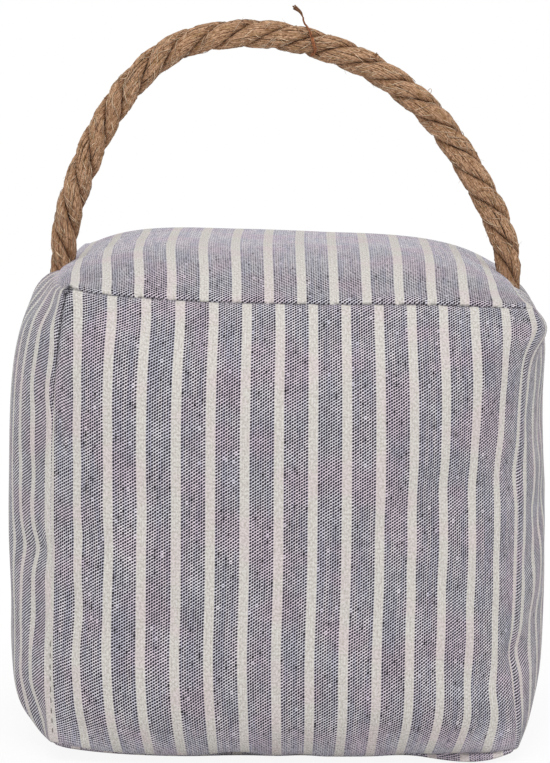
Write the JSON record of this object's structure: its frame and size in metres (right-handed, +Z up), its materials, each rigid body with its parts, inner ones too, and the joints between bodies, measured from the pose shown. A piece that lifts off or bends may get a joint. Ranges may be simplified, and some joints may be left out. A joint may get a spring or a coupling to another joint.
{
  "type": "weighted fabric door stop",
  "caption": "Cube-shaped sewn bag of striped canvas, packed with a heavy fill, with a twisted rope handle across its top. It stands on the floor and holds a door open.",
  "frame": {"origin": "on the floor, under the middle of the bag's overall box", "axes": "+Z up, front panel towards -Y, rope handle in the plane of X and Z"},
  "size_m": [0.168, 0.1714, 0.2227],
  "materials": {
    "canvas": "plain-woven cotton, grey-blue and pale threads, cream stripes",
    "jute": "natural brown jute fibre, three-strand rope"
  },
  "bodies": {
    "root": {"weighted_bag": "canvas", "rope_strand_1": "jute", "rope_strand_2": "jute", "rope_strand_3": "jute"}
  },
  "joints": []
}
